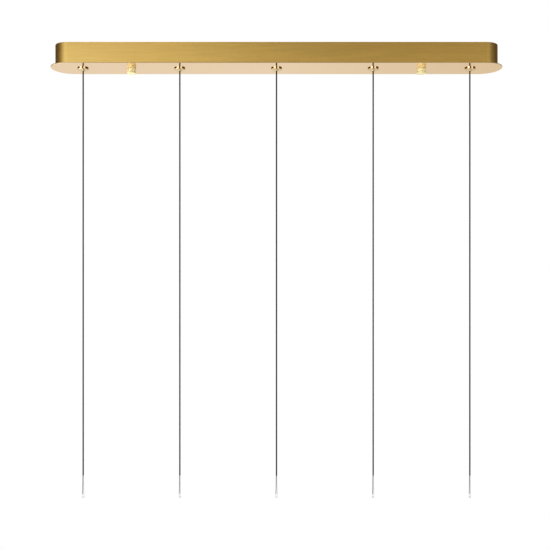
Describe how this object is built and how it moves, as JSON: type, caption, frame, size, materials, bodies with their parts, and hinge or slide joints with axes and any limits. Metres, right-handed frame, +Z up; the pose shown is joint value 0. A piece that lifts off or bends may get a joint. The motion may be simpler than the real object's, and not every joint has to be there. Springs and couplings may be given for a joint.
{
  "type": "linear island pendant canopy",
  "caption": "Long brass ceiling canopy with round ends, a polished face plate, knurled thumb nuts and a row of straight black pendant cords with stripped ends.",
  "frame": {"origin": "centre of the two ceiling screw slots, in the ceiling plane", "axes": "+X along the canopy, +Z up into the ceiling, -Y towards the front of the canopy"},
  "size_m": [0.8988, 0.076, 0.9014],
  "materials": {
    "brushed_brass": "brushed along the length, lacquered",
    "polished_brass": "mirror polished, pale",
    "turned_brass": "turned and polished",
    "zinc_steel": "bright zinc plated",
    "black_cord": "black jacket, satin",
    "stripped_core": "white insulation with tinned ends",
    "natural_nylon": "moulded nylon",
    "driver_case": "moulded, fine texture",
    "block_plastic": "moulded, slightly glossy",
    "supply_wire": "extruded insulation",
    "output_wire": "extruded insulation",
    "earth_wire": "extruded insulation"
  },
  "bodies": {
    "bracket": {"ceiling_bracket": "zinc_steel", "bracket_earth_screw": "turned_brass", "bracket_weld_nuts": "zinc_steel", "stud_lock_nuts": "zinc_steel", "stud_left": "zinc_steel", "stud_right": "zinc_steel"},
    "canopy": {"canopy_wall": "brushed_brass", "face_plate": "polished_brass", "wall_tabs": "zinc_steel", "plate_studs": "zinc_steel", "plate_nuts": "zinc_steel", "outlet_nipples": "zinc_steel", "outlet_washers": "zinc_steel", "outlet_lock_nuts": "zinc_steel", "clamp_screws": "zinc_steel", "cable_clips": "natural_nylon", "led_driver": "driver_case", "mains_block": "block_plastic", "mains_block_screws": "zinc_steel", "distribution_block": "block_plastic", "distribution_block_screws": "zinc_steel", "inner_studs": "zinc_steel", "inner_nuts": "zinc_steel", "driver_supply_lead": "supply_wire", "driver_output_lead": "output_wire", "earth_lead": "earth_wire", "outlet_collar_1": "polished_brass", "cord_clamp_1": "natural_nylon", "cord_tail_1": "black_cord", "outlet_collar_2": "polished_brass", "cord_clamp_2": "natural_nylon", "cord_tail_2": "black_cord", "outlet_collar_3": "polished_brass", "cord_clamp_3": "natural_nylon", "cord_tail_3": "black_cord", "outlet_collar_4": "polished_brass", "cord_clamp_4": "natural_nylon", "cord_tail_4": "black_cord", "outlet_collar_5": "polished_brass", "cord_clamp_5": "natural_nylon", "cord_tail_5": "black_cord"},
    "left_washer": {"finial_washer_left": "natural_nylon"},
    "left_nut": {"finial_left": "turned_brass"},
    "right_washer": {"finial_washer_right": "natural_nylon"},
    "right_nut": {"finial_right": "turned_brass"},
    "cord_1": {"cord_1": "black_cord", "cord_cores_1": "stripped_core"},
    "cord_2": {"cord_2": "black_cord", "cord_cores_2": "stripped_core"},
    "cord_3": {"cord_3": "black_cord", "cord_cores_3": "stripped_core"},
    "cord_4": {"cord_4": "black_cord", "cord_cores_4": "stripped_core"},
    "cord_5": {"cord_5": "black_cord", "cord_cores_5": "stripped_core"}
  },
  "joints": [
    {"name": "canopy_lower", "type": "slide", "parent": "bracket", "child": "canopy", "axis": [0, 0, -1], "range_m": [0, 0.06]},
    {"name": "finial_left_travel", "type": "slide", "parent": "canopy", "child": "left_washer", "axis": [0, 0, -1], "range_m": [0, 0.008]},
    {"name": "finial_left_spin", "type": "hinge", "parent": "left_washer", "child": "left_nut", "pos_m": [-0.2895, 0, -0.0445], "axis": [0, 0, -1], "range_deg": [0, 3600]},
    {"name": "finial_right_travel", "type": "slide", "parent": "canopy", "child": "right_washer", "axis": [0, 0, -1], "range_m": [0, 0.008]},
    {"name": "finial_right_spin", "type": "hinge", "parent": "right_washer", "child": "right_nut", "pos_m": [0.2895, 0, -0.0445], "axis": [0, 0, -1], "range_deg": [0, 3600]},
    {"name": "cord_1_swing", "type": "hinge", "parent": "canopy", "child": "cord_1", "pos_m": [-0.386, 0, -0.0466], "axis": [1, 0, 0], "range_deg": [-12, 12]},
    {"name": "cord_2_swing", "type": "hinge", "parent": "canopy", "child": "cord_2", "pos_m": [-0.193, 0, -0.0466], "axis": [1, 0, 0], "range_deg": [-12, 12]},
    {"name": "cord_3_swing", "type": "hinge", "parent": "canopy", "child": "cord_3", "pos_m": [0, 0, -0.0466], "axis": [1, 0, 0], "range_deg": [-12, 12]},
    {"name": "cord_4_swing", "type": "hinge", "parent": "canopy", "child": "cord_4", "pos_m": [0.193, 0, -0.0466], "axis": [1, 0, 0], "range_deg": [-12, 12]},
    {"name": "cord_5_swing", "type": "hinge", "parent": "canopy", "child": "cord_5", "pos_m": [0.386, 0, -0.0466], "axis": [1, 0, 0], "range_deg": [-12, 12]}
  ],
  "couplings": [
    {"joint": "finial_left_travel", "follows": "finial_left_spin", "m_per_rad": 0.00012732},
    {"joint": "finial_right_travel", "follows": "finial_right_spin", "m_per_rad": 0.00012732}
  ]
}
